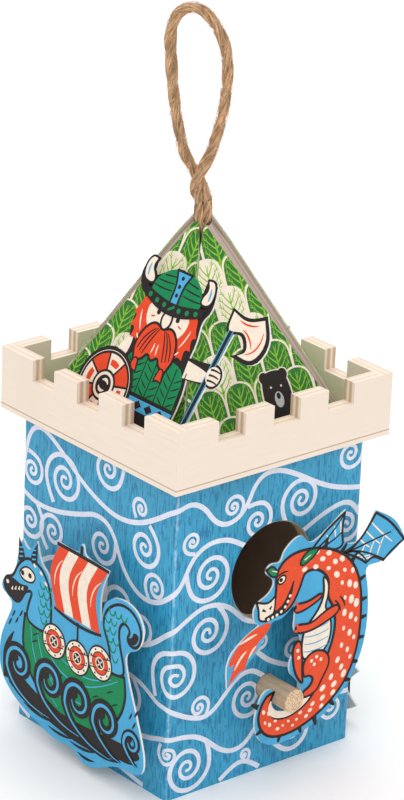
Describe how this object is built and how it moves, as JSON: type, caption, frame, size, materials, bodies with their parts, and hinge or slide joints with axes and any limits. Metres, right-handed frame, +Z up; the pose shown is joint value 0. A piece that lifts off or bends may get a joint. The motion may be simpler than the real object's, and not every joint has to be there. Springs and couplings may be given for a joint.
{
  "type": "hanging nest box",
  "caption": "Castle-shaped wooden nest box: square papered tower with a round entrance and perch, crenellated parapet, pyramid roof, card figures and a jute hanging loop.",
  "frame": {"origin": "centre of the tower's base, on the surface that it stands on", "axes": "+Z up, -Y out of the wall with the entrance and the perch, -X out of the wall with the ship"},
  "size_m": [0.1116, 0.1158, 0.2801],
  "materials": {
    "plywood": "sanded, bare",
    "roof_ply": "sanded, bare",
    "dowel": "bare",
    "wall_paper": "matte print",
    "roof_paper": "matte print",
    "card": "matte print",
    "foam": "foam",
    "jute": "twisted cord"
  },
  "bodies": {
    "house": {"wall_front": "plywood", "wall_rear": "plywood", "wall_left": "plywood", "wall_right": "plywood", "floor_panel": "plywood", "wall_wrap": "wall_paper", "perch": "dowel", "deck_plate": "plywood", "parapet_front": "plywood", "parapet_rear": "plywood", "parapet_left": "plywood", "parapet_right": "plywood", "roof_panel_front": "roof_ply", "roof_panel_rear": "roof_ply", "roof_panel_left": "roof_ply", "roof_panel_right": "roof_ply", "roof_print_front": "roof_paper", "roof_print_rear": "roof_paper", "roof_print_left": "roof_paper", "roof_print_right": "roof_paper", "ship_cutout": "card", "dragon_cutout": "card", "serpent_cutout": "card", "rear_ship_cutout": "card", "viking_cutout": "card", "foam_pads": "foam"},
    "neck": {"cord_knot": "jute", "cord_neck": "jute"},
    "loop": {"hanging_loop": "jute"}
  },
  "joints": [
    {"name": "cord_swivel", "type": "hinge", "parent": "house", "child": "neck", "pos_m": [0, 0, 0.2], "axis": [0, 0, 1], "range_deg": [-180, 180]},
    {"name": "loop_tilt", "type": "hinge", "parent": "neck", "child": "loop", "pos_m": [0, 0, 0.2075], "axis": [0.7547, -0.6561, 0], "range_deg": [-75, 75]}
  ]
}
